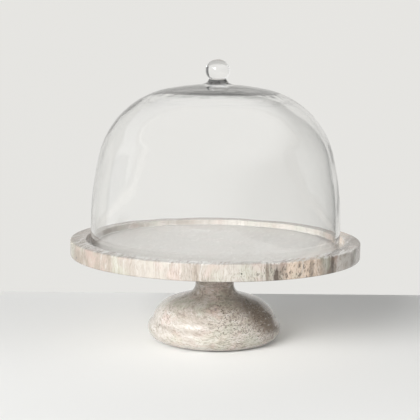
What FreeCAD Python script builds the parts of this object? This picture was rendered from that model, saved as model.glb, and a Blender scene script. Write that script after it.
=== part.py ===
"""Cake stand with a lifting glass dome.

A slab of marble on a turned marble foot, bolted together through the foot from below,
and a glass bell that stands loose in the slab's well. Everything is turned about +Z.
Millimetres, floor at z = 0, the stand's axis on Z.
"""
import FreeCAD, Part
import math
import os

# ---------------------------------------------------------------- driving dimensions
# slab
PLATE_D = 305.0            # a 12 inch stand
PLATE_TOP = 108.0          # height of the rim above the floor
PLATE_T = 17.0             # thickness of the slab at its rim
RIM_W = 16.5               # width of the raised rim
WELL_DEPTH = 5.5           # the well in which the dome stands
WELL_FILLET = 1.2          # radius at the bottom of the well's wall
EDGE_R = 1.5               # the slab's rounded edges

# foot
PAD_T = 2.6                # thickness of a pad
PAD_LIFT = 1.2             # how far the pads hold the stone off the floor
PAD_D = 14.0
PAD_COUNT = 4
PAD_PCD = 94.0             # circle on which the pads sit
NECK_R = 20.5              # radius of the neck under the slab
NECK_FILLET_R = 11.5       # hollow curve between the neck and the shoulder
NECK_FILLET_Z = 59.4       # height at which that curve starts
SHOULDER_SLOPE = 17.0      # degrees below horizontal at the top of the shoulder
SHOULDER_START_R = 44.0    # radius at which the sloping shoulder starts to round over
SHOULDER_TURN = 50.0       # slope at which its large rounding gives way to a tighter one
COVE_SLOPES = (75.0, 43.0) # the shallow cove between shoulder and bead, in degrees below
COVE_R = 8.0               # horizontal where it starts and ends, and its radius
BEAD_R = 11.5              # round bead at the floor
BEAD_CENTRE_R = 59.3

# glass bell
SEAT_GAP = 0.3             # the bell's ground edge above the floor of the well
WALL_T = 3.8               # thickness of its wall
DOME_TOP = 270.6           # outside height of the crown, under the handle
CROWN_R = 262.0            # flat crown, to CROWN_END degrees from vertical
CROWN_END = 11.2
SHOULDER_GLASS_R = 92.0    # rounded shoulder of the bell, to SHOULDER_GLASS_END
SHOULDER_GLASS_END = 77.0
WALL_R = 333.0             # long curve of its wall, down to the edge
CROWN_UNDER = 258.5        # the flat underside of the thick crown
CROWN_UNDER_FILLET = 10.0  # radius from that flat into the wall

# handle
KNOB_TOP = 296.0
KNOB_A = 12.75             # half width of the ball
KNOB_B = 11.5              # half height of the ball
KNOB_SIDE_R = 10.6         # rounding of the ball's side
KNOB_NECK_Z = 276.3        # height of the neck's waist
KNOB_COLLAR_R = 11.3       # radius at which the neck's flare turns into the foot fillet
KNOB_COLLAR_Z = 272.1
KNOB_FOOT_R = 16.0         # radius at which the handle meets the crown

# fasteners: one M8 bolt
THREAD_D = 8.0
INSERT_D = 12.0
INSERT_L = 7.5
BOLT_TIP = 97.5            # height of the bolt's tip, inside the insert
BOLT_L = 60.0
HEAD_AF = 13.0             # across flats
HEAD_H = 5.3
SPRING_WASHER = (8.1, 14.8, 2.0)   # inside, outside, thickness
SPRING_WASHER_SLIT = 1.2
FLAT_WASHER = (8.4, 24.0, 2.0)
BORE_D = 9.0               # clearance hole through the foot
COUNTERBORE_D = 30.0       # room for a socket wrench

# ---------------------------------------------------------------- derived heights
PLATE_UNDER = PLATE_TOP - PLATE_T
WELL_FLOOR = PLATE_TOP - WELL_DEPTH
WELL_R = PLATE_D / 2 - RIM_W
HEAD_SEAT = BOLT_TIP - BOLT_L
COUNTERBORE_TOP = HEAD_SEAT + SPRING_WASHER[2] + FLAT_WASHER[2]
DOME_EDGE = WELL_FLOOR + SEAT_GAP

AXIS_Z = FreeCAD.Vector(0, 0, 1)
ORIGIN = FreeCAD.Vector(0, 0, 0)


# ---------------------------------------------------------------- outline helpers
def on_circle(centre, radius, degrees):
    """Point at an angle from +R on a circle in the half plane (r, z)."""
    a = math.radians(degrees)
    return (centre[0] + radius * math.cos(a), centre[1] + radius * math.sin(a))


def at(point):
    return FreeCAD.Vector(point[0], 0, point[1])


def line(a, b):
    return Part.makeLine(at(a), at(b))


def arc(centre, radius, start, end):
    """Edge along a circle from angle start to angle end, in degrees from +R."""
    p, q, s = (on_circle(centre, radius, a) for a in (start, (start + end) / 2, end))
    return Part.Arc(at(p), at(q), at(s)).toShape()


def turned(edges):
    """The solid swept by a closed outline in the half plane (r, z)."""
    face = Part.Face(Part.Wire(edges))
    return Part.Solid(face.revolve(ORIGIN, AXIS_Z, 360).Shells[0])


def ring(inside, outside, low, high):
    """Plain ring, given its diameters."""
    r, s = inside / 2, outside / 2
    return turned([line((r, low), (s, low)), line((s, low), (s, high)),
                   line((s, high), (r, high)), line((r, high), (r, low))])


def cylinder(diameter, low, high, x=0.0, y=0.0):
    return Part.makeCylinder(diameter / 2, high - low, FreeCAD.Vector(x, y, low))


def pad_places():
    """Centres of the pads, on a circle, clear of the X and Y axes."""
    for i in range(PAD_COUNT):
        a = math.radians(45.0 + 360.0 * i / PAD_COUNT)
        yield PAD_PCD / 2 * math.cos(a), PAD_PCD / 2 * math.sin(a)


# ---------------------------------------------------------------- stone
def marble_plate():
    """Slab with rounded edges, a well on top and a blind hole for the insert below."""
    r, e, w, f = PLATE_D / 2, EDGE_R, WELL_R, WELL_FILLET
    top, under, well = PLATE_TOP, PLATE_UNDER, WELL_FLOOR
    lip = 0.8  # the small round on the rim's inner edge
    slab = turned([
        line((0, under), (r - e, under)),
        arc((r - e, under + e), e, -90, 0),
        line((r, under + e), (r, top - e)),
        arc((r - e, top - e), e, 0, 90),
        line((r - e, top), (w + lip, top)),
        arc((w + lip, top - lip), lip, 90, 180),
        line((w, top - lip), (w, well + f)),
        arc((w - f, well + f), f, 0, -90),
        line((w - f, well), (0, well)),
        line((0, well), (0, under)),
    ])
    return slab.cut(cylinder(INSERT_D, under - 1, under + INSERT_L))


def rounding_radii(start, end, slope, turn, last):
    """Radii of two tangent arcs that lead from one point, sloping down at slope degrees,
    to another at last degrees, and meet where the slope is turn degrees."""
    s0, s1, s2 = (math.sin(math.radians(a)) for a in (slope, turn, last))
    c0, c1, c2 = (math.cos(math.radians(a)) for a in (slope, turn, last))
    out, down = end[0] - start[0], start[1] - end[1]
    det = (s1 - s0) * (c1 - c2) - (s2 - s1) * (c0 - c1)
    return ((out * (c1 - c2) - down * (s2 - s1)) / det,
            (down * (s1 - s0) - out * (c0 - c1)) / det)


def pedestal_outline():
    """Outside of the foot, from the neck's top down to the floor side."""
    hollow = (NECK_R + NECK_FILLET_R, NECK_FILLET_Z)
    slope_top = on_circle(hollow, NECK_FILLET_R, 270 - SHOULDER_SLOPE)
    drop = (SHOULDER_START_R - slope_top[0]) * math.tan(math.radians(SHOULDER_SLOPE))
    slope_end = (SHOULDER_START_R, slope_top[1] - drop)
    # the bead sits on the floor side of the foot; the cove leads into it
    bead = (BEAD_CENTRE_R, PAD_LIFT + BEAD_R)
    cove_in, cove_out = COVE_SLOPES
    cove = on_circle(bead, BEAD_R + COVE_R, 90 - cove_out)
    cove_start = on_circle(cove, COVE_R, 270 - cove_in)
    big_r, small_r = rounding_radii(slope_end, cove_start, SHOULDER_SLOPE, SHOULDER_TURN, cove_in)
    big = on_circle(slope_end, -big_r, 90 - SHOULDER_SLOPE)
    small = on_circle(big, big_r - small_r, 90 - SHOULDER_TURN)
    return [
        line((NECK_R, PLATE_UNDER), (NECK_R, NECK_FILLET_Z)),
        arc(hollow, NECK_FILLET_R, 180, 270 - SHOULDER_SLOPE),
        line(slope_top, slope_end),
        arc(big, big_r, 90 - SHOULDER_SLOPE, 90 - SHOULDER_TURN),
        arc(small, small_r, 90 - SHOULDER_TURN, 90 - cove_in),
        arc(cove, COVE_R, 270 - cove_in, 270 - cove_out),
        arc(bead, BEAD_R, 90 - cove_out, -90),
    ]


def marble_pedestal():
    """Turned foot with a bore and a counterbore for the bolt, and pockets for the pads."""
    bore, pocket = BORE_D / 2, COUNTERBORE_D / 2
    under = PAD_LIFT
    foot = turned([line((bore, PLATE_UNDER), (NECK_R, PLATE_UNDER))] + pedestal_outline() + [
        line((BEAD_CENTRE_R, under), (pocket, under)),
        line((pocket, under), (pocket, COUNTERBORE_TOP)),
        line((pocket, COUNTERBORE_TOP), (bore, COUNTERBORE_TOP)),
        line((bore, COUNTERBORE_TOP), (bore, PLATE_UNDER)),
    ])
    for x, y in pad_places():
        foot = foot.cut(cylinder(PAD_D, under - 1, PAD_T, x, y))
    return foot


# ---------------------------------------------------------------- glass
def bell_arcs(inward):
    """Crown, shoulder and wall of the bell, set inward by a thickness: three tangent arcs
    as (centre, radius, first angle, last angle), the last one ending at the ground edge."""
    a, b = 90 - CROWN_END, 90 - SHOULDER_GLASS_END
    crown = (0.0, DOME_TOP - CROWN_R)
    shoulder = on_circle(crown, CROWN_R - SHOULDER_GLASS_R, a)
    wall = on_circle(shoulder, SHOULDER_GLASS_R - WALL_R, b)
    edge = DOME_EDGE + WALL_T / 2
    last = math.degrees(math.asin((edge - wall[1]) / (WALL_R - inward)))
    return ((crown, CROWN_R - inward, 90, a),
            (shoulder, SHOULDER_GLASS_R - inward, a, b),
            (wall, WALL_R - inward, b, last))


def glass_dome():
    """Bell with a thick crown that is flat underneath, and a fire-polished edge."""
    crown, shoulder, wall = bell_arcs(0.0)
    _, inner_shoulder, inner_wall = bell_arcs(WALL_T)
    # the handle stands on the crown, face to face, inside KNOB_FOOT_R
    seat = math.degrees(math.acos(KNOB_FOOT_R / CROWN_R))
    seat_z = on_circle(crown[0], CROWN_R, seat)[1]
    # fillet between the flat underside and the shoulder's inside
    centre, radius = inner_shoulder[0], inner_shoulder[1]
    f = CROWN_UNDER_FILLET
    fillet_z = CROWN_UNDER - f
    fillet_r = centre[0] + math.sqrt((radius - f) ** 2 - (fillet_z - centre[1]) ** 2)
    fillet = (fillet_r, fillet_z)
    meet = math.degrees(math.atan2(fillet_z - centre[1], fillet_r - centre[0]))
    # half-round ground edge
    outer_end = on_circle(wall[0], wall[1], wall[3])
    inner_end = on_circle(inner_wall[0], inner_wall[1], inner_wall[3])
    middle = ((outer_end[0] + inner_end[0]) / 2, DOME_EDGE)
    return turned([
        line((0, seat_z), (KNOB_FOOT_R, seat_z)),
        arc(crown[0], crown[1], seat, crown[3]),
        arc(*shoulder),
        arc(*wall),
        Part.Arc(at(outer_end), at(middle), at(inner_end)).toShape(),
        arc(inner_wall[0], inner_wall[1], inner_wall[3], inner_wall[2]),
        arc(centre, radius, inner_shoulder[3], meet),
        arc(fillet, f, meet, 90),
        line((fillet_r, CROWN_UNDER), (0, CROWN_UNDER)),
        line((0, CROWN_UNDER), (0, seat_z)),
    ])


def glass_knob():
    """Solid ball, slightly flattened, on a short neck that flares to its foot."""
    centre_z = KNOB_TOP - KNOB_B
    seat_z = DOME_TOP - CROWN_R + math.sqrt(CROWN_R ** 2 - KNOB_FOOT_R ** 2)
    # the ball's side arc, and the flatter arc on its axis that meets it in a tangent
    side = (KNOB_A - KNOB_SIDE_R, centre_z)
    spare = KNOB_B - KNOB_SIDE_R
    sink = (side[0] ** 2 - spare ** 2) / (2 * spare)
    top = (0.0, centre_z - sink)
    meet = math.degrees(math.atan2(sink, side[0]))
    waist = math.degrees(math.asin((KNOB_NECK_Z - centre_z) / KNOB_SIDE_R))
    neck_r = on_circle(side, KNOB_SIDE_R, waist)[0]
    flare, foot = Part.BezierCurve(), Part.BezierCurve()
    collar = (KNOB_COLLAR_R, KNOB_COLLAR_Z)
    flare.setPoles([at((neck_r, KNOB_NECK_Z)), at((neck_r, KNOB_NECK_Z - 1.6)), at(collar)])
    foot.setPoles([at(collar), at((collar[0] + 1.0, collar[1] - 1.1)), at((KNOB_FOOT_R, seat_z))])
    return turned([
        arc(top, KNOB_B + sink, 90, meet),
        arc(side, KNOB_SIDE_R, meet, waist),
        flare.toShape(),
        foot.toShape(),
        line((KNOB_FOOT_R, seat_z), (0, seat_z)),
        line((0, seat_z), (0, KNOB_TOP)),
    ])


# ---------------------------------------------------------------- hardware
def threaded_insert():
    """Brass bush bonded in the slab, with two grip grooves round it."""
    low, high = PLATE_UNDER, PLATE_UNDER + INSERT_L
    bush = ring(THREAD_D, INSERT_D, low, high)
    for z in (low + 2.0, low + 4.5):
        bush = bush.cut(ring(INSERT_D - 1.0, INSERT_D + 1.0, z, z + 1.0))
    return bush


def pedestal_bolt():
    """Hexagon bolt, head down, with a chamfered tip and head."""
    c = 0.8
    shank_r = THREAD_D / 2
    shank = turned([
        line((0, HEAD_SEAT), (shank_r, HEAD_SEAT)),
        line((shank_r, HEAD_SEAT), (shank_r, BOLT_TIP - c)),
        line((shank_r, BOLT_TIP - c), (shank_r - c, BOLT_TIP)),
        line((shank_r - c, BOLT_TIP), (0, BOLT_TIP)),
        line((0, BOLT_TIP), (0, HEAD_SEAT)),
    ])
    corner = HEAD_AF / 2 / math.cos(math.radians(30))
    points = [FreeCAD.Vector(*on_circle((0, 0), corner, 60 * i), HEAD_SEAT - HEAD_H) for i in range(7)]
    head = Part.Face(Part.makePolygon(points)).extrude(FreeCAD.Vector(0, 0, HEAD_H))
    low, dome = HEAD_SEAT - HEAD_H, HEAD_AF / 2 - 0.3
    chamfer = turned([
        line((0, low), (dome, low)),
        line((dome, low), (corner + 0.5, low + (corner + 0.5 - dome) * math.tan(math.radians(30)))),
        line((corner + 0.5, low + (corner + 0.5 - dome) * math.tan(math.radians(30))),
             (corner + 0.5, HEAD_SEAT)),
        line((corner + 0.5, HEAD_SEAT), (0, HEAD_SEAT)),
        line((0, HEAD_SEAT), (0, low)),
    ])
    return head.common(chamfer).fuse(shank).removeSplitter()


def spring_washer():
    """Split ring, pressed flat."""
    inside, outside, t = SPRING_WASHER
    washer = ring(inside, outside, HEAD_SEAT, HEAD_SEAT + t)
    slit = Part.makeBox(outside, SPRING_WASHER_SLIT, t + 2,
                        FreeCAD.Vector(0, -SPRING_WASHER_SLIT / 2, HEAD_SEAT - 1))
    return washer.cut(slit)


def flat_washer():
    inside, outside, t = FLAT_WASHER
    return ring(inside, outside, COUNTERBORE_TOP - t, COUNTERBORE_TOP)


def foot_pad(x, y):
    """Round pad with a softened lower edge."""
    r, e = PAD_D / 2, 0.5
    pad = turned([
        line((0, 0), (r - e, 0)),
        arc((r - e, e), e, -90, 0),
        line((r, e), (r, PAD_T)),
        line((r, PAD_T), (0, PAD_T)),
        line((0, PAD_T), (0, 0)),
    ])
    pad.translate(FreeCAD.Vector(x, y, 0))
    return pad


def all_nodes():
    nodes = {
        "glass_dome": glass_dome(),
        "glass_knob": glass_knob(),
        "marble_plate": marble_plate(),
        "marble_pedestal": marble_pedestal(),
        "threaded_insert": threaded_insert(),
        "pedestal_bolt": pedestal_bolt(),
        "spring_washer": spring_washer(),
        "flat_washer": flat_washer(),
    }
    for i, (x, y) in enumerate(pad_places(), start=1):
        nodes["foot_pad_%d" % i] = foot_pad(x, y)
    return nodes


os.makedirs("parts", exist_ok=True)
for name, shape in all_nodes().items():
    assert shape.isValid() and len(shape.Solids) == 1, name
    shape.exportStep("parts/%s.step" % name)
    box = shape.BoundBox
    print("%-16s volume %10.1f mm3  x %.1f..%.1f  z %.2f..%.2f"
          % (name, shape.Volume, box.XMin, box.XMax, box.ZMin, box.ZMax))
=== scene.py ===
"""Looks of the marble cake stand and its glass dome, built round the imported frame.

Everything is turned about Z. Outlines are in millimetres, in the half plane (r, z), and the
lathe scales them to the frame's metres.
"""

import math

import bpy
from mathutils import Matrix, Vector


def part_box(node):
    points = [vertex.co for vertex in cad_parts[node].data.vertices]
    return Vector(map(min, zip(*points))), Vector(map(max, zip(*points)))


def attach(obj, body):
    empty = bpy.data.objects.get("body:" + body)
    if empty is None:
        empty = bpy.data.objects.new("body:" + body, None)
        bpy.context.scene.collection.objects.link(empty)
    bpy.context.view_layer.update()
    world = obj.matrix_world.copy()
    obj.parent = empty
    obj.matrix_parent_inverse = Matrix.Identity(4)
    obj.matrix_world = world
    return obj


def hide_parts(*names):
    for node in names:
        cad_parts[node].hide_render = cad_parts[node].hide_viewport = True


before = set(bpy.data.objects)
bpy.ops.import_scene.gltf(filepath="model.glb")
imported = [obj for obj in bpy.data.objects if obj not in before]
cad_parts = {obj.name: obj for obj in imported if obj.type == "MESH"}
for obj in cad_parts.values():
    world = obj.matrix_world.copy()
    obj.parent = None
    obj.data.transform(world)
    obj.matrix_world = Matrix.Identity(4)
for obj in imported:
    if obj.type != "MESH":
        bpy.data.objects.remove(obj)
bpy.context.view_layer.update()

MM = 0.001
ON_AXIS = 1e-6          # mm: a point nearer to the axis than this lies on it


def node_mm(node):
    """Lowest and highest corner of a CAD node, in millimetres."""
    low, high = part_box(node)
    return low / MM, high / MM


# ---------------------------------------------------------------- sizes, from the frame
plate_low, plate_high = node_mm("marble_plate")
foot_low = node_mm("marble_pedestal")[0]
dome_low = node_mm("glass_dome")[0]
knob_low, knob_high = node_mm("glass_knob")
pad_high = node_mm("foot_pad_1")[1]

PLATE_R = min(plate_high.x, plate_high.y, -plate_low.x, -plate_low.y)
PLATE_TOP, PLATE_UNDER = plate_high.z, plate_low.z
RIM_W, WELL_DEPTH = 16.5, 5.5
WELL_R = PLATE_R - RIM_W
WELL_FLOOR = PLATE_TOP - WELL_DEPTH
INSERT_R, INSERT_L = 6.0, 7.5

FOOT_UNDER = foot_low.z
NECK_R = 20.5
NECK_FILLET_R, NECK_FILLET_Z = 11.5, 59.4
SHOULDER_SLOPE, SHOULDER_TURN = 17.0, 50.0
SHOULDER_START_R = 44.0
COVE_SLOPES, COVE_R = (75.0, 43.0), 8.0
BEAD_R, BEAD_CENTRE_R = 11.5, 59.3
BORE_R, COUNTERBORE_R, COUNTERBORE_TOP = 4.5, 15.0, 41.5
PAD_R, PAD_TOP = 7.0, pad_high.z

WALL_T = 3.8
DOME_EDGE = dome_low.z
DOME_TOP = 270.6
CROWN_R, CROWN_END = 262.0, 11.2
SHOULDER_GLASS_R, SHOULDER_GLASS_END = 92.0, 77.0
WALL_R = 333.0
CROWN_UNDER, CROWN_UNDER_FILLET = 258.5, 10.0

KNOB_TOP = knob_high.z
KNOB_A, KNOB_B, KNOB_SIDE_R = 12.75, 11.5, 10.6
KNOB_NECK_Z = 276.3
KNOB_COLLAR_R, KNOB_COLLAR_Z = 11.3, 272.1
KNOB_FOOT_R, KNOB_SEAT_Z = 16.0, knob_low.z


# ---------------------------------------------------------------- outlines
def on_circle(centre, radius, degrees):
    a = math.radians(degrees)
    return (centre[0] + radius * math.cos(a), centre[1] + radius * math.sin(a))


def arc(centre, radius, start, end, step=1.5, fewest=6):
    """Points along a circle, from one angle to another in degrees, about step mm apart."""
    count = max(fewest, math.ceil(abs(math.radians(end - start)) * abs(radius) / step))
    return [on_circle(centre, radius, start + (end - start) * i / count)
            for i in range(count + 1)]


def line(start, end, step=4.0):
    count = max(1, math.ceil(math.dist(start, end) / step))
    return [(start[0] + (end[0] - start[0]) * i / count, start[1] + (end[1] - start[1]) * i / count)
            for i in range(count + 1)]


def bend(start, pull, end, count=10):
    """Points along a curve that leaves start towards pull and arrives at end from it."""
    points = []
    for i in range(count + 1):
        t = i / count
        points.append(tuple((1 - t) ** 2 * a + 2 * t * (1 - t) * b + t * t * c
                            for a, b, c in zip(start, pull, end)))
    return points


def chain(*runs):
    """One smooth run from several that meet end to end."""
    points = list(runs[0])
    for run in runs[1:]:
        points += run[1:]
    return points


def rounding_radii(start, end, slope, turn, last):
    """Radii of two tangent arcs from one point and slope to another, meeting at slope turn."""
    s0, s1, s2 = (math.sin(math.radians(a)) for a in (slope, turn, last))
    c0, c1, c2 = (math.cos(math.radians(a)) for a in (slope, turn, last))
    out, down = end[0] - start[0], start[1] - end[1]
    det = (s1 - s0) * (c1 - c2) - (s2 - s1) * (c0 - c1)
    return ((out * (c1 - c2) - down * (s2 - s1)) / det,
            (down * (s1 - s0) - out * (c0 - c1)) / det)


def plate_outline():
    """Slab: rounded edges, raised rim, well, and the blind hole under its middle."""
    edge, lip, fillet = 1.5, 0.8, 1.2
    r, w = PLATE_R, WELL_R
    hole_top = PLATE_UNDER + INSERT_L
    outside = chain(
        line((INSERT_R, PLATE_UNDER), (r - edge, PLATE_UNDER)),
        arc((r - edge, PLATE_UNDER + edge), edge, -90, 0),
        line((r, PLATE_UNDER + edge), (r, PLATE_TOP - edge)),
        arc((r - edge, PLATE_TOP - edge), edge, 0, 90),
        line((r - edge, PLATE_TOP), (w + lip, PLATE_TOP)),
        arc((w + lip, PLATE_TOP - lip), lip, 90, 180),
        line((w, PLATE_TOP - lip), (w, WELL_FLOOR + fillet)),
        arc((w - fillet, WELL_FLOOR + fillet), fillet, 0, -90),
        line((w - fillet, WELL_FLOOR), (0, WELL_FLOOR)),
    )
    return [
        (line((0, hole_top), (INSERT_R, hole_top)), 0),
        (line((INSERT_R, hole_top), (INSERT_R, PLATE_UNDER)), 0),
        (outside, 0),
    ]


def pedestal_outline():
    """Foot: neck, shoulder, cove and bead outside; bore and counterbore inside."""
    hollow = (NECK_R + NECK_FILLET_R, NECK_FILLET_Z)
    slope_top = on_circle(hollow, NECK_FILLET_R, 270 - SHOULDER_SLOPE)
    drop = (SHOULDER_START_R - slope_top[0]) * math.tan(math.radians(SHOULDER_SLOPE))
    slope_end = (SHOULDER_START_R, slope_top[1] - drop)
    bead = (BEAD_CENTRE_R, FOOT_UNDER + BEAD_R)
    cove_in, cove_out = COVE_SLOPES
    cove = on_circle(bead, BEAD_R + COVE_R, 90 - cove_out)
    cove_start = on_circle(cove, COVE_R, 270 - cove_in)
    big_r, small_r = rounding_radii(slope_end, cove_start, SHOULDER_SLOPE, SHOULDER_TURN, cove_in)
    big = on_circle(slope_end, -big_r, 90 - SHOULDER_SLOPE)
    small = on_circle(big, big_r - small_r, 90 - SHOULDER_TURN)
    outside = chain(
        line((NECK_R, PLATE_UNDER), (NECK_R, NECK_FILLET_Z)),
        arc(hollow, NECK_FILLET_R, 180, 270 - SHOULDER_SLOPE),
        line(slope_top, slope_end),
        arc(big, big_r, 90 - SHOULDER_SLOPE, 90 - SHOULDER_TURN),
        arc(small, small_r, 90 - SHOULDER_TURN, 90 - cove_in),
        arc(cove, COVE_R, 270 - cove_in, 270 - cove_out),
        arc(bead, BEAD_R, 90 - cove_out, -90, step=1.0),
        line((BEAD_CENTRE_R, FOOT_UNDER), (COUNTERBORE_R, FOOT_UNDER)),
    )
    return [
        (line((BORE_R, PLATE_UNDER), (NECK_R, PLATE_UNDER)), 0),
        (outside, 0),
        (line((COUNTERBORE_R, FOOT_UNDER), (COUNTERBORE_R, COUNTERBORE_TOP)), 0),
        (line((COUNTERBORE_R, COUNTERBORE_TOP), (BORE_R, COUNTERBORE_TOP)), 0),
        (line((BORE_R, COUNTERBORE_TOP), (BORE_R, PLATE_UNDER)), 0),
    ]


def bell_arcs(inward):
    """Crown, shoulder and wall of the bell, set inward by a thickness."""
    a, b = 90 - CROWN_END, 90 - SHOULDER_GLASS_END
    crown = (0.0, DOME_TOP - CROWN_R)
    shoulder = on_circle(crown, CROWN_R - SHOULDER_GLASS_R, a)
    wall = on_circle(shoulder, SHOULDER_GLASS_R - WALL_R, b)
    edge = DOME_EDGE + WALL_T / 2
    last = math.degrees(math.asin((edge - wall[1]) / (WALL_R - inward)))
    return ((crown, CROWN_R - inward, 90, a),
            (shoulder, SHOULDER_GLASS_R - inward, a, b),
            (wall, WALL_R - inward, b, last))


def dome_outline():
    """Bell: thick crown, flat underneath, thin wall and a fire-polished edge."""
    crown, shoulder, wall = bell_arcs(0.0)
    inner_shoulder, inner_wall = bell_arcs(WALL_T)[1:]
    seat = math.degrees(math.acos(KNOB_FOOT_R / CROWN_R))
    centre, radius = inner_shoulder[0], inner_shoulder[1]
    f = CROWN_UNDER_FILLET
    fillet_z = CROWN_UNDER - f
    fillet = (centre[0] + math.sqrt((radius - f) ** 2 - (fillet_z - centre[1]) ** 2), fillet_z)
    meet = math.degrees(math.atan2(fillet_z - centre[1], fillet[0] - centre[0]))
    outer_end = on_circle(wall[0], wall[1], wall[3])
    inner_end = on_circle(inner_wall[0], inner_wall[1], inner_wall[3])
    middle = ((outer_end[0] + inner_end[0]) / 2, (outer_end[1] + inner_end[1]) / 2)
    tilt = math.degrees(math.atan2(outer_end[1] - middle[1], outer_end[0] - middle[0]))
    outer = chain(
        arc(crown[0], crown[1], seat, crown[3]),
        arc(*shoulder),
        arc(*wall),
        arc(middle, WALL_T / 2, tilt, tilt - 180, step=0.4),
        arc(inner_wall[0], inner_wall[1], inner_wall[3], inner_wall[2]),
        arc(centre, radius, inner_shoulder[3], meet),
        arc(fillet, f, meet, 90),
        line((fillet[0], CROWN_UNDER), (0, CROWN_UNDER), step=2.0),
    )
    return [
        (line((0, KNOB_SEAT_Z), (KNOB_FOOT_R, KNOB_SEAT_Z)), 1),
        (outer, 0),
    ]


def knob_outline():
    """Flattened ball on a short flared neck."""
    centre_z = KNOB_TOP - KNOB_B
    side = (KNOB_A - KNOB_SIDE_R, centre_z)
    spare = KNOB_B - KNOB_SIDE_R
    sink = (side[0] ** 2 - spare ** 2) / (2 * spare)
    meet = math.degrees(math.atan2(sink, side[0]))
    waist = math.degrees(math.asin((KNOB_NECK_Z - centre_z) / KNOB_SIDE_R))
    neck_r = on_circle(side, KNOB_SIDE_R, waist)[0]
    collar = (KNOB_COLLAR_R, KNOB_COLLAR_Z)
    ball = chain(
        arc((0.0, centre_z - sink), KNOB_B + sink, 90, meet, step=0.5),
        arc(side, KNOB_SIDE_R, meet, waist, step=0.5),
        bend((neck_r, KNOB_NECK_Z), (neck_r, KNOB_NECK_Z - 1.6), collar),
        bend(collar, (collar[0] + 1.0, collar[1] - 1.1), (KNOB_FOOT_R, KNOB_SEAT_Z)),
    )
    return [
        (ball, 0),
        (line((KNOB_FOOT_R, KNOB_SEAT_Z), (0, KNOB_SEAT_Z)), 1),
    ]


# ---------------------------------------------------------------- meshes
def lathe(name, runs, materials, around=256):
    """Turns an outline about Z. Each run is (points, material number); two runs meet in a
    hard corner. The outline starts and ends on the axis, or ends where it starts."""
    outline, slots, corners = [runs[0][0][0]], [], set()
    for points, slot in runs:
        corners.add(len(outline) - 1)
        for point in points[1:]:
            outline.append(point)
            slots.append(slot)
    closed = outline[0][0] > ON_AXIS
    if closed:
        outline.pop()
    vertices, rings = [], []
    for r, z in outline:
        if r < ON_AXIS:
            rings.append([len(vertices)] * around)
            vertices.append((0.0, 0.0, z * MM))
            continue
        rings.append(list(range(len(vertices), len(vertices) + around)))
        for i in range(around):
            a = 2 * math.pi * i / around
            vertices.append((r * math.cos(a) * MM, r * math.sin(a) * MM, z * MM))
    faces, face_slots = [], []
    for k, slot in enumerate(slots):
        one, two = rings[k], rings[(k + 1) % len(rings)]
        for i in range(around):
            j = (i + 1) % around
            face = [one[i], one[j], two[j], two[i]]
            face = [v for n, v in enumerate(face) if v not in face[:n]]
            faces.append(face)
            face_slots.append(slot)
    mesh = bpy.data.meshes.new(name)
    mesh.from_pydata(vertices, [], faces)
    mesh.polygons.foreach_set("use_smooth", [True] * len(faces))
    mesh.polygons.foreach_set("material_index", face_slots)
    sharp = set()
    for k in corners:
        ring = rings[k]
        for i in range(around):
            if ring[i] != ring[(i + 1) % around]:
                sharp.add(frozenset((ring[i], ring[(i + 1) % around])))
    for edge in mesh.edges:
        if frozenset(edge.vertices) in sharp:
            edge.use_edge_sharp = True
    for material in materials:
        mesh.materials.append(material)
    mesh.validate()
    piece = bpy.data.objects.new(name, mesh)
    bpy.context.scene.collection.objects.link(piece)
    face_outward(piece)
    return piece


def face_outward(piece):
    """Turns every face of a closed mesh outward, by the sign of its volume."""
    mesh = piece.data
    mesh.calc_loop_triangles()
    points = [v.co for v in mesh.vertices]
    volume = sum(points[a].dot(points[b].cross(points[c]))
                 for a, b, c in (t.vertices for t in mesh.loop_triangles))
    if volume < 0:
        mesh.flip_normals()


def sink_pockets(piece, centres, radius, top):
    """Cuts round pockets into the underside of a piece, for its pads."""
    below = FOOT_UNDER - 2
    for x, y in centres:
        cutter = lathe("cutter", [
            (line((0, below), (radius, below)), 0),
            (line((radius, below), (radius, top)), 0),
            (line((radius, top), (0, top)), 0),
        ], [], around=64)
        cutter.location = (x * MM, y * MM, 0)
        cut = piece.modifiers.new("pocket", "BOOLEAN")
        cut.operation, cut.solver, cut.object = "DIFFERENCE", "EXACT", cutter
        bpy.context.view_layer.update()
        evaluated = piece.evaluated_get(bpy.context.evaluated_depsgraph_get())
        mesh = bpy.data.meshes.new_from_object(evaluated)
        piece.modifiers.clear()
        piece.data = mesh
        bpy.data.objects.remove(cutter)


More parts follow.
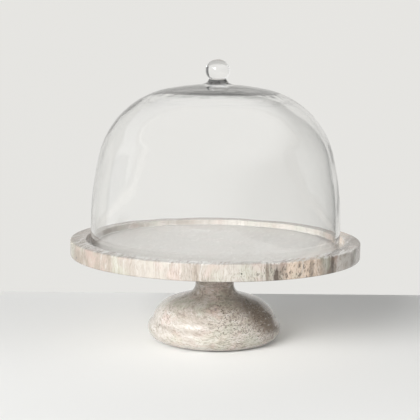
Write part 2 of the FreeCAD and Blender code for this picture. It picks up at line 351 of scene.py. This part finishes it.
# ---------------------------------------------------------------- materials
class Shader:
    """A node material written as calls. Each call returns the socket that it makes."""

    def __init__(self, name):
        self.material = bpy.data.materials.new(name)
        self.material.use_nodes = True
        self.nodes = self.material.node_tree.nodes
        self.links = self.material.node_tree.links
        self.nodes.clear()
        self.place = self.node("ShaderNodeTexCoord").outputs["Object"]

    def node(self, kind, inputs=None, **settings):
        made = self.nodes.new(kind)
        for key, value in settings.items():
            setattr(made, key, value)
        for key, value in (inputs or {}).items():
            self.feed(made.inputs[key], value)
        return made

    def feed(self, socket, value):
        if isinstance(value, bpy.types.NodeSocket):
            self.links.new(value, socket)
        else:
            socket.default_value = value

    def math(self, operation, a, b):
        return self.node("ShaderNodeMath", {0: a, 1: b}, operation=operation).outputs[0]

    def vector(self, operation, a, b=(0.0, 0.0, 0.0)):
        made = self.node("ShaderNodeVectorMath", {0: a}, operation=operation)
        if operation == "SCALE":
            self.feed(made.inputs["Scale"], b)
        else:
            self.feed(made.inputs[1], b)
        return made.outputs["Value" if operation == "DOT_PRODUCT" else "Vector"]

    def axes(self, place, directions, scales):
        """Coordinates along three directions, in features per metre."""
        parts = [self.math("MULTIPLY", self.vector("DOT_PRODUCT", place, d), s)
                 for d, s in zip(directions, scales)]
        return self.node("ShaderNodeCombineXYZ", dict(enumerate(parts))).outputs[0]

    def noise(self, place, scale, detail, roughness=0.55, colour=False):
        made = self.node("ShaderNodeTexNoise", {"Vector": place, "Scale": scale, "Detail": detail,
                                                "Roughness": roughness})
        return made.outputs["Color" if colour else "Fac"]

    def cells(self, place, output="Distance"):
        made = self.node("ShaderNodeTexVoronoi", {"Vector": place, "Scale": 1.0})
        return made.outputs[output]

    def steps(self, value, low, high, to_low=0.0, to_high=1.0):
        """Maps a value smoothly from low..high to to_low..to_high."""
        made = self.node("ShaderNodeMapRange", {"Value": value, "From Min": low, "From Max": high,
                                                "To Min": to_low, "To Max": to_high},
                         interpolation_type="SMOOTHSTEP")
        return made.outputs[0]

    def ramp(self, value, stops):
        made = self.node("ShaderNodeValToRGB", {"Fac": value})
        elements = made.color_ramp.elements
        while len(elements) < len(stops):
            elements.new(0.5)
        for element, (position, colour) in zip(elements, stops):
            element.position, element.color = position, (*colour, 1.0)
        return made.outputs[0]

    def mix(self, share, a, b):
        made = self.node("ShaderNodeMix", data_type="RGBA")
        self.feed(made.inputs["Factor"], share)
        for key, value in ((6, a), (7, b)):
            self.feed(made.inputs[key], (*value, 1.0) if isinstance(value, tuple) else value)
        return made.outputs[2]

    def bump(self, height, distance, strength):
        made = self.node("ShaderNodeBump", {"Height": height, "Distance": distance,
                                            "Strength": strength})
        return made.outputs[0]

    def surface(self, **inputs):
        made = self.node("ShaderNodeBsdfPrincipled")
        for key, value in inputs.items():
            self.feed(made.inputs[key.replace("_", " ")], value)
        return made.outputs[0]

    def done(self, shader):
        self.node("ShaderNodeOutputMaterial", {"Surface": shader})
        return self.material


def srgb(r, g, b):
    """Scene-linear colour from 0..255 display values."""
    return tuple(c / 12.92 if c <= 0.04045 else ((c + 0.055) / 1.055) ** 2.4
                 for c in (r / 255, g / 255, b / 255))


CREAM, PALE, SAND = srgb(188, 184, 178), srgb(174, 168, 160), srgb(159, 151, 142)
TAN, BROWN, MAUVE = srgb(150, 139, 127), srgb(128, 117, 106), srgb(151, 145, 145)
ROSE, SAGE, RUST = srgb(182, 161, 153), srgb(158, 162, 146), srgb(112, 84, 62)
UMBER, DARK, PIT_SHADE = srgb(108, 96, 84), srgb(72, 62, 54), srgb(36, 31, 27)
# FROST_AND_PAINTED_LIGHT is the stone's palest tone, and on the slab's top it is also painted
# light.
HONEY, FAWN, FROST_AND_PAINTED_LIGHT = srgb(196, 178, 161), srgb(142, 131, 119), srgb(236, 234, 230)


def stone(name, across, along, seed, beds, blots, pits, dense, calm, contrast, long,
          rough, coat):
    """Polished banded marble, the same all through the block, in millimetres. across is the
    direction that the beds are stacked in and along the one that their streaks run in. beds
    are (height across the stack, colour), blots are (centre, radii, colour, share), pits are
    places of small open holes, dense is where the dark grains crowd, as (centre, radii), and
    calm where the marks fade, as (centre, radii, from, to, share left).
    contrast is the strength of the streaks and specks, long stretches them along the streak,
    and rough and coat set the polish."""
    s = Shader(name)
    across, along = Vector(across).normalized(), Vector(along).normalized()
    turned = (tuple(across), tuple(along), tuple(across.cross(along)))
    block = s.vector("SCALE", s.place, 1 / MM)
    grown = s.vector("ADD", block, seed)

    def wander(place, size, far):
        cloud = s.noise(place, 1 / size, 3.0, colour=True)
        return s.vector("SCALE", s.vector("SUBTRACT", cloud, (0.5, 0.5, 0.5)), far)

    drift = s.vector("ADD", wander(grown, 70.0, 22.0), wander(grown, 6.0, 3.5))
    here = s.vector("ADD", grown, drift)

    def streaks(thick, length, detail=3.0, roughness=0.6):
        place = s.axes(here, turned, (1 / thick, 1 / length, 1 / length))
        return s.noise(place, 1.0, detail, roughness)

    def over(colour, share, amount, tone):
        return s.mix(s.math("MULTIPLY", share, amount), colour, tone)

    def away_from(place, centre, radii):
        away = s.vector("SUBTRACT", place, centre)
        away = s.vector("MULTIPLY", away, tuple(1 / r for r in radii))
        return s.node("ShaderNodeVectorMath", {0: away}, operation="LENGTH").outputs["Value"]

    height = s.vector("DOT_PRODUCT", s.vector("ADD", block, drift), across)
    low, high = beds[0][0], beds[-1][0]
    stack = s.node("ShaderNodeMapRange", {"Value": height, "From Min": low, "From Max": high})
    colour = s.ramp(stack.outputs[0], [((h - low) / (high - low), tone) for h, tone in beds])
    uneven = s.steps(s.noise(grown, 1 / 42.0, 2.0), 0.35, 0.65, 0.6 * contrast, contrast)
    uneven = s.math("MULTIPLY", uneven, s.steps(away_from(block, *calm[:2]), *calm[2:], 1.0))
    crowd = s.steps(away_from(grown, Vector(dense[0]) + Vector(seed), dense[1]), 1.3, 0.3)
    broad, middle = streaks(9.0, 12.0 * long), streaks(2.8, 3.0 * long, 4.0)
    fine, grain = streaks(1.2, 1.2 * long, 4.0, 0.7), streaks(0.9, 0.6 * long, 2.0, 0.7)
    colour = over(colour, s.steps(broad, 0.5, 0.66), s.math("MULTIPLY", uneven, 0.6), TAN)
    colour = over(colour, s.steps(broad, 0.46, 0.32), 0.5, CREAM)
    colour = over(colour, s.steps(middle, 0.52, 0.66), s.math("MULTIPLY", uneven, 0.5), UMBER)
    colour = over(colour, s.steps(middle, 0.46, 0.32), 0.55, CREAM)
    colour = over(colour, s.steps(s.noise(here, 1 / 20.0, 2.0), 0.5, 0.66), 0.4, ROSE)
    moved = s.vector("ADD", here, (91.0, 37.0, 53.0))
    colour = over(colour, s.steps(s.noise(moved, 1 / 26.0, 2.0), 0.5, 0.66), 0.4, SAGE)
    for centre, radii, tone, share in blots:
        wobble, edge = min(1.4, 12.0 / min(radii)), min(0.35, 10.0 / min(radii))
        away = away_from(s.vector("ADD", block, s.vector("SCALE", drift, 0.35)), centre, radii)
        ragged = s.math("ADD", away, s.math("MULTIPLY", s.math("SUBTRACT", middle, 0.5), wobble))
        colour = over(colour, s.steps(ragged, 1.0 + edge, 1.0 - edge), share, tone)
    colour = over(colour, s.steps(fine, 0.52, 0.64), s.math("MULTIPLY", uneven, 0.6), UMBER)
    colour = over(colour, s.steps(fine, 0.46, 0.34), s.math("MULTIPLY", uneven, 0.5), CREAM)
    crowded = s.math("ADD", grain, s.math("MULTIPLY", crowd, 0.05))
    specks = s.steps(crowded, 0.57, 0.66)
    amount = s.math("MULTIPLY", s.math("ADD", uneven, crowd), 0.55)
    colour = over(colour, specks, s.math("MINIMUM", amount, 0.85), DARK)
    # open pits: a sprinkling of small ones, and the few large ones by place; the near black in them
    # is painted shade, and only a shallow bump dents them
    cell_place = s.axes(here, turned, (1 / 5.0, 1 / 9.0, 1 / 9.0))
    lot = s.cells(cell_place, "Color")
    lot = s.node("ShaderNodeSeparateColor", {0: lot}).outputs[0]
    holes = s.math("MULTIPLY", s.steps(s.cells(cell_place), 0.16, 0.06),
                   s.steps(lot, 0.95, 0.96))
    for centre, radius in pits:
        holes = s.math("MAXIMUM", holes,
                       s.steps(away_from(block, centre, (radius,) * 3), 1.0, 0.4))
    colour = over(colour, holes, 0.9, PIT_SHADE)

    relief = s.math("SUBTRACT", s.math("MULTIPLY", specks, -0.01), holes)
    rough = s.math("ADD", s.steps(middle, 0.3, 0.7, rough, rough + 0.05),
                   s.math("MULTIPLY", s.math("ADD", specks, holes), 0.06))
    return s.done(s.surface(Base_Color=colour, Roughness=rough, IOR=STONE_IOR,
                            Normal=s.bump(relief, 0.0004, 0.4),
                            Coat_Weight=coat, Coat_Roughness=0.08))


GLASS_IOR, STONE_IOR = 1.5, 1.5
MELT = (0.018, 0.010)           # distance from the axis, m, where the melt's churn sets in
BELL_END = (0.2722, 0.2712)     # heights, m: above them the glass is the handle's
CROWN_START = (0.250, 0.256)    # heights, m: from here up the glass is wavier


def clear_glass():
    """Clear soda glass, a little wavy, most of all where the handle was fused to the crown.
    Two things aren't physical. Shadow and diffuse rays pass it untouched, so that lamps reach
    what stands under it. A ray that has been reflected twice or more goes straight on, a
    little weaker, because light trapped in the thick crown would run out of bounces."""
    s = Shader("clear_glass")
    height = s.noise(s.place, 11.0, 2.0)
    radial = s.vector("MULTIPLY", s.place, (1.0, 1.0, 0.0))
    distance = s.node("ShaderNodeVectorMath", {0: radial}, operation="LENGTH").outputs["Value"]
    near_axis = s.steps(distance, *MELT)
    churn = s.math("MULTIPLY", s.noise(s.place, 210.0, 2.0), near_axis)
    above = s.node("ShaderNodeSeparateXYZ", {0: s.place}).outputs[2]
    bell = s.steps(above, *BELL_END)
    crown = s.math("MULTIPLY", s.steps(above, *CROWN_START), bell)
    waves = s.math("MULTIPLY", s.noise(s.place, 30.0, 2.0), s.math("MULTIPLY", crown, 0.6))
    churn = s.math("MULTIPLY", churn, s.math("MULTIPLY", crown, 2.0))
    normal = s.bump(s.math("ADD", height, s.math("ADD", churn, waves)), 0.0012, 1.0)
    fresnel = s.node("ShaderNodeFresnel", {"IOR": GLASS_IOR}).outputs[0]
    glass = s.surface(Base_Color=(0.993, 0.994, 0.990, 1.0), Roughness=0.0, IOR=GLASS_IOR,
                      Transmission_Weight=1.0, Normal=normal)
    path = s.node("ShaderNodeLightPath").outputs
    spent = s.math("GREATER_THAN", path["Glossy Depth"], 1.5)
    lost = s.math("MULTIPLY", fresnel, s.math("MULTIPLY", spent, 0.5))
    passed = s.math("SUBTRACT", 1.0, lost)
    through = s.node("ShaderNodeBsdfTransparent", {"Color": passed}).outputs[0]
    lamp = s.math("MAXIMUM", path["Is Shadow Ray"], path["Is Diffuse Ray"])
    free = s.math("MAXIMUM", lamp, spent)
    return s.done(s.node("ShaderNodeMixShader", {0: free, 1: glass, 2: through}).outputs[0])


def fused_joint():
    """The face that the handle and the crown share: inside the melt nothing shows there."""
    s = Shader("fused_joint")
    return s.done(s.node("ShaderNodeBsdfTransparent").outputs[0])


TOOL_MARKS = 6000.0     # per metre


def metal(name, colour, roughness, turned):
    """Turned or rolled metal with fine circular tool marks and a little tarnish. turned is
    the strength of the marks."""
    s = Shader(name)
    radial = s.vector("MULTIPLY", s.place, (1.0, 1.0, 0.0))
    distance = s.node("ShaderNodeVectorMath", {0: radial}, operation="LENGTH").outputs["Value"]
    height = s.node("ShaderNodeSeparateXYZ", {0: s.place}).outputs[2]
    rings = s.noise(s.node("ShaderNodeCombineXYZ", {0: s.math("MULTIPLY", distance, TOOL_MARKS),
                                                    1: s.math("MULTIPLY", height, TOOL_MARKS)})
                    .outputs[0], 1.0, 2.0)
    tarnish = s.noise(s.place, 160.0, 4.0)
    dark = tuple(c * 0.55 for c in colour)
    tint = s.mix(s.steps(tarnish, 0.45, 0.75, 0.0, 0.6), colour, dark)
    rough = s.steps(tarnish, 0.3, 0.7, roughness, roughness + 0.18)
    return s.done(s.surface(Base_Color=tint, Metallic=1.0, Roughness=rough,
                            Normal=s.bump(rings, 0.00002, turned)))


def rubber():
    s = Shader("pad_rubber")
    speck = s.noise(s.place, 2600.0, 2.0)
    dust = s.noise(s.place, 130.0, 3.0)
    colour = s.mix(s.steps(dust, 0.5, 0.8, 0.0, 0.5), srgb(38, 37, 36), srgb(92, 89, 84))
    return s.done(s.surface(Base_Color=colour, Roughness=s.steps(speck, 0.3, 0.7, 0.6, 0.85),
                            Normal=s.bump(speck, 0.00006, 0.5)))


def backdrop():
    """Paper behind the table. It glows by itself, evenly, so no lamp has to light it."""
    s = Shader("backdrop")
    cloud = s.noise(s.place, 0.5, 1.0)
    tone = s.mix(cloud, (0.77, 0.765, 0.74), (0.81, 0.80, 0.775))
    return s.done(s.node("ShaderNodeEmission", {"Color": tone, "Strength": 1.0}).outputs[0])


MOTTLE = 0.01       # how much darker the stage's faint clouds are


def matte(name, colour):
    """Plain matt stage surface."""
    s = Shader(name)
    faint = tuple(c * (1 - MOTTLE) for c in colour)
    cloud = s.noise(s.place, 2.0, 2.0)
    return s.done(s.surface(Base_Color=s.mix(cloud, colour, faint), Roughness=0.85))


# ---------------------------------------------------------------- pieces
plate_stone = stone(
    "marble_slab", across=(0.95, -0.31, 0.0), along=(0.0, 0.0, 1.0), seed=(310.0, 170.0, 50.0),
    beds=((-150, FAWN), (-100, FAWN), (-45, SAND), (-8, PALE), (28, SAND), (62, PALE), (92, PALE),
          (103, BROWN), (110, HONEY), (126, HONEY), (133, BROWN), (139, UMBER), (144, BROWN),
          (149, PALE), (156, MAUVE), (170, MAUVE)),
    # The first two blots whiten the middle of the slab and the top of the rim at the front: partly
    # the stone's own pale tone, partly painted light on the top of the slab.
    blots=(((0.0, 0.0, 100.0), (135.0, 135.0, 100.0), FROST_AND_PAINTED_LIGHT, 0.55),
           ((0.0, -70.0, 110.0), (125.0, 100.0, 3.0), FROST_AND_PAINTED_LIGHT, 0.95),
           ((151.0, -22.0, 98.0), (9.0, 26.0, 30.0), UMBER, 0.7),
           ((57.0, -141.0, 95.0), (2.2, 8.0, 9.0), DARK, 0.9),
           ((49.0, -144.0, 99.0), (1.8, 8.0, 12.0), UMBER, 0.7),
           ((91.0, -122.0, 97.0), (2.5, 5.0, 12.0), UMBER, 0.6),
           ((114.0, -101.0, 99.0), (2.0, 4.0, 14.0), DARK, 0.7)),
    pits=(((-140.0, -60.4, 95.5), 1.6), ((24.0, -150.6, 99.0), 1.1), ((137.0, -30.0, 108.0), 1.6)),
    dense=((70.0, -135.0, 98.0), (55.0, 40.0, 14.0)),
    calm=((0.0, 0.0, 100.0), (142.0, 142.0, 100.0), 0.96, 1.0, 0.6), contrast=0.72, long=8.0,
    rough=0.2, coat=0.2)
foot_stone = stone(
    "marble_foot", across=(0.1, -0.3, 0.95), along=(0.98, 0.1, -0.1), seed=(73.0, 41.0, 22.0),
    beds=((-30, PALE), (10, PALE), (38, PALE), (52, SAND), (62, TAN), (74, TAN), (90, MAUVE)),
    # The UMBER and DARK blots darken the foot's upper right: partly the stone's darker patch,
    # partly painted shade on the side that faces away from the lamps, under the slab.
    blots=(((62.0, -26.0, 38.0), (30.0, 42.0, 24.0), UMBER, 0.95),
           ((56.0, -26.0, 46.0), (34.0, 44.0, 16.0), DARK, 0.6),
           ((14.0, -24.0, 56.0), (7.0, 8.0, 6.0), RUST, 0.6)),
    pits=(((11.0, -69.0, 19.0), 1.0),),
    dense=((32.0, -45.0, 34.0), (42.0, 40.0, 26.0)),
    calm=((-35.0, -60.0, 14.0), (45.0, 50.0, 26.0), 0.5, 1.0, 0.6), contrast=1.3, long=4.0,
    rough=0.2, coat=0.5)
glass, joint = clear_glass(), fused_joint()

plate = lathe("plate_stone", plate_outline(), [plate_stone])
foot = lathe("pedestal_stone", pedestal_outline(), [foot_stone], around=192)
pad_centres = [((low.x + high.x) / 2, (low.y + high.y) / 2)
               for low, high in (node_mm("foot_pad_%d" % i) for i in range(1, 5))]
sink_pockets(foot, pad_centres, PAD_R, PAD_TOP)
dome = lathe("dome_glass", dome_outline(), [glass, joint])
knob = lathe("knob_glass", knob_outline(), [glass, joint])

for piece, node, body, slot in (
        (plate, "marble_plate", "stand", "marble"),
        (foot, "marble_pedestal", "stand", "marble"),
        (dome, "glass_dome", "dome", "clear_glass"),
        (knob, "glass_knob", "dome", "clear_glass")):
    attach(piece, body)
    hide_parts(node)

brass = metal("turned_brass", srgb(196, 160, 92), 0.24, 0.5)
steel = metal("zinc_steel", srgb(178, 180, 184), 0.3, 0.25)
pads = rubber()
for node, material in (("threaded_insert", brass), ("pedestal_bolt", steel),
                       ("spring_washer", steel), ("flat_washer", steel),
                       *(("foot_pad_%d" % i, pads) for i in range(1, 5))):
    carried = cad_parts[node]
    for material_slot in carried.material_slots:
        material_slot.material = material


# ---------------------------------------------------------------- stage, camera, light
def slab(name, corners, material):
    mesh = bpy.data.meshes.new(name)
    mesh.from_pydata(corners, [], [list(range(len(corners)))])
    mesh.materials.append(material)
    made = bpy.data.objects.new(name, mesh)
    bpy.context.scene.collection.objects.link(made)
    return made


TABLE_BACK = 0.227      # how far behind the stand the table ends
TABLE_SKEW = 0.027      # its back edge isn't quite square to the view
TABLE_LEFT, TABLE_RIGHT, TABLE_FRONT = -2.5, 0.7, -2.5
FLOOR_Z, FLOOR_FRONT, FLOOR_BACK = -0.75, TABLE_BACK - 0.4, 6
WALL_LEFT, WALL_RIGHT, WALL_Y, WALL_HEIGHT = -6.0, 2.4, 3.0, 2.6
table_white = matte("table_white", srgb(233, 233, 231))
wall_white = matte("wall_white", srgb(238, 237, 234))
slab("table_top", [(TABLE_LEFT, TABLE_FRONT, 0), (TABLE_RIGHT, TABLE_FRONT, 0),
                   (TABLE_RIGHT, TABLE_BACK + TABLE_RIGHT * TABLE_SKEW, 0),
                   (TABLE_LEFT, TABLE_BACK + TABLE_LEFT * TABLE_SKEW, 0)], table_white)
slab("room_floor", [(WALL_LEFT, FLOOR_FRONT, FLOOR_Z), (WALL_RIGHT, FLOOR_FRONT, FLOOR_Z),
                    (WALL_RIGHT, FLOOR_BACK, FLOOR_Z), (WALL_LEFT, FLOOR_BACK, FLOOR_Z)],
     wall_white)
slab("back_wall", [(WALL_LEFT, WALL_Y, FLOOR_Z), (WALL_RIGHT, WALL_Y, FLOOR_Z),
                   (WALL_RIGHT, WALL_Y, WALL_HEIGHT), (WALL_LEFT, WALL_Y, WALL_HEIGHT)],
     backdrop())


def turn_to(back, roll=0.0):
    """Rotation whose local Z points back and whose X is level, then rolled."""
    back = Vector(back).normalized()
    right = Vector((0, 0, 1)).cross(back).normalized()
    up = back.cross(right)
    x = right * math.cos(roll) + up * math.sin(roll)
    y = up * math.cos(roll) - right * math.sin(roll)
    return Matrix((x, y, back)).transposed().to_4x4()


CAMERA_DISTANCE = 1.2
CAMERA_PITCH = math.radians(7.79)
CAMERA_ROLL = math.radians(0.81)
CAMERA_TARGET = Vector((-0.0061, 0.0, 0.1379))
CAMERA_SENSOR, CAMERA_LENS = 36.0, 97.43
camera = bpy.data.objects.new("camera", bpy.data.cameras.new("camera"))
bpy.context.scene.collection.objects.link(camera)
camera.data.sensor_width, camera.data.lens = CAMERA_SENSOR, CAMERA_LENS
back = Vector((0.0, -math.cos(CAMERA_PITCH), math.sin(CAMERA_PITCH)))
camera.matrix_world = (Matrix.Translation(CAMERA_TARGET + back * CAMERA_DISTANCE)
                       @ turn_to(back, CAMERA_ROLL))
bpy.context.scene.camera = camera


LAMP_TARGET = Vector((0, 0, 0.1))


def window(name, azimuth, elevation, width, height, glow, colour=(1, 1, 1), distance=5.0):
    """Area lamp that faces the stand. The azimuth is counted from the camera's side,
    positive to the right. Width and height are angles too, and glow is its radiance."""
    a, e = math.radians(azimuth), math.radians(elevation)
    towards = Vector((math.sin(a) * math.cos(e), -math.cos(a) * math.cos(e), math.sin(e)))
    lamp = bpy.data.lights.new(name, "AREA")
    lamp.shape = "RECTANGLE"
    lamp.size = 2 * distance * math.tan(math.radians(width / 2))
    lamp.size_y = 2 * distance * math.tan(math.radians(height / 2))
    lamp.energy, lamp.color = math.pi * lamp.size * lamp.size_y * glow, colour
    made = bpy.data.objects.new(name, lamp)
    made.visible_transmission = False
    bpy.context.scene.collection.objects.link(made)
    made.matrix_world = (Matrix.Translation(LAMP_TARGET + towards * distance)
                         @ turn_to(towards))
    return made


windows = (
    window("window_main", -36, 21.5, 36, 18, 23.0),
    window("window_front", 0, 9, 40, 10, 5.0),
    window("window_side", -62, 18, 18, 14, 1.0),
    window("window_left", -114, 18, 20, 20, 1.5, (0.85, 0.93, 1.0)),
    window("window_right", 70, 20, 40, 20, 4.5),
)
# The lamps' own highlights are too hard for a soft room, so they light without any gloss,
# and one milder pane gives gloss without lighting.
for lamp in windows:
    lamp.visible_glossy = False
shine = window("window_shine", -36, 21.5, 36, 18, 11.0, (0.92, 0.97, 1.0))
shine.visible_diffuse = False
# The five lamps leave out bell and handle, and the shine leaves out bell and slab. So the
# bell only mirrors the soft room, and the shine shows on the handle and the foot.
for lamp in (*windows, shine):
    clean = bpy.data.collections.new("clean_" + lamp.name)
    for piece in (dome, plate) if lamp == shine else (dome, knob):
        clean.objects.link(piece)
    for linked in clean.collection_objects:
        linked.light_linking.link_state = "EXCLUDE"
    lamp.light_linking.receiver_collection = clean


def room(light, mirrored):
    """Soft surroundings, as (dim, bright, towards, overhead, up, reach): dim to bright across
    the room, and another shade overhead, within reach of the direction up. The second set is
    what clear glass mirrors."""
    world = bpy.data.worlds.new("room")
    bpy.context.scene.world = world
    world.use_nodes = True
    nodes, links = world.node_tree.nodes, world.node_tree.links
    nodes.clear()
    place = nodes.new("ShaderNodeTexCoord").outputs["Generated"]

    def share(direction, low, high):
        """How far a direction of view leans to another, from 0 to 1."""
        lean = nodes.new("ShaderNodeVectorMath")
        lean.operation = "DOT_PRODUCT"
        links.new(place, lean.inputs[0])
        lean.inputs[1].default_value = Vector(direction).normalized()
        spread = nodes.new("ShaderNodeMapRange")
        spread.interpolation_type = "SMOOTHSTEP"
        spread.inputs["From Min"].default_value = low
        spread.inputs["From Max"].default_value = high
        links.new(lean.outputs["Value"], spread.inputs["Value"])
        return spread.outputs[0]

    def blend(factor, a, b):
        mix = nodes.new("ShaderNodeMix")
        mix.data_type = "RGBA"
        links.new(factor, mix.inputs["Factor"])
        for socket, value in ((mix.inputs[6], a), (mix.inputs[7], b)):
            if isinstance(value, bpy.types.NodeSocket):
                links.new(value, socket)
            else:
                socket.default_value = (value, value, value, 1.0)
        return mix.outputs[2]

    def shade(dim, bright, towards, overhead, up, reach):
        around = blend(share(towards, -0.6, 0.8), dim, bright)
        return blend(share(up, *reach), around, overhead)

    sharp = nodes.new("ShaderNodeLightPath").outputs["Is Singular Ray"]
    shine = nodes.new("ShaderNodeBackground")
    links.new(blend(sharp, shade(*light), shade(*mirrored)), shine.inputs["Color"])
    links.new(shine.outputs[0], nodes.new("ShaderNodeOutputWorld").inputs["Surface"])


room(light=(0.2, 1.0, (-0.9, -0.3, 0.0), 0.14, (0, 0, 1), (0.3, 0.75)),
     mirrored=(0.12, 1.25, (-0.9, -0.3, 0.0), 1.2, (0, -0.3, 1), (0.35, 0.8)))
bpy.context.scene.view_settings.view_transform = "Standard"
